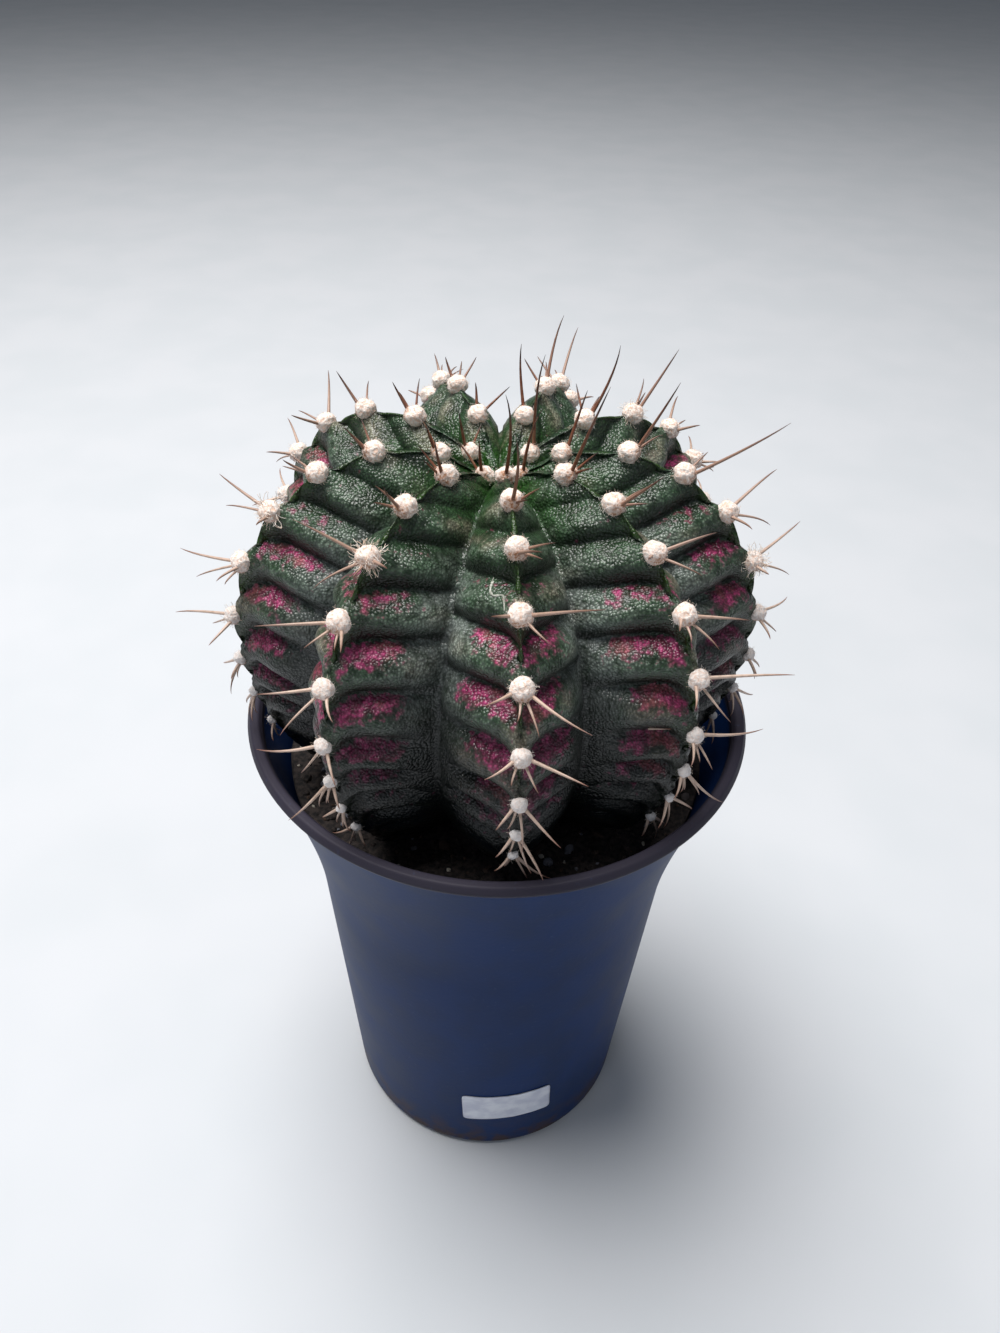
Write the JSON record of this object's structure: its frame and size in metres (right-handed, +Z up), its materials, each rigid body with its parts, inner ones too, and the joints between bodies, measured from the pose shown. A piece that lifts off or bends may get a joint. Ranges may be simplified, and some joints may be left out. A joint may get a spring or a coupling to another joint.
{
  "type": "potted gymnocalycium cactus",
  "caption": "Globular ribbed cactus with woolly areoles and curved spines, standing in gritty soil in a tall round tapered nursery pot with a flared collar and rolled rim",
  "frame": {"origin": "centre of the pot's flat underside, on the surface that it stands on", "axes": "+Z up along the pot's axis, -Y towards the front with the small sticker, +X to the right seen from the front"},
  "size_m": [0.0905, 0.0871, 0.1574],
  "materials": {
    "pot_plastic": "satin moulded polypropylene",
    "growing_mix": "rough, gritty",
    "cactus_flesh": "waxy skin with fine grain",
    "label_film": "silvery film"
  },
  "bodies": {
    "root": {"pot": "pot_plastic", "soil": "growing_mix", "cactus": "cactus_flesh", "label": "label_film"}
  },
  "joints": []
}
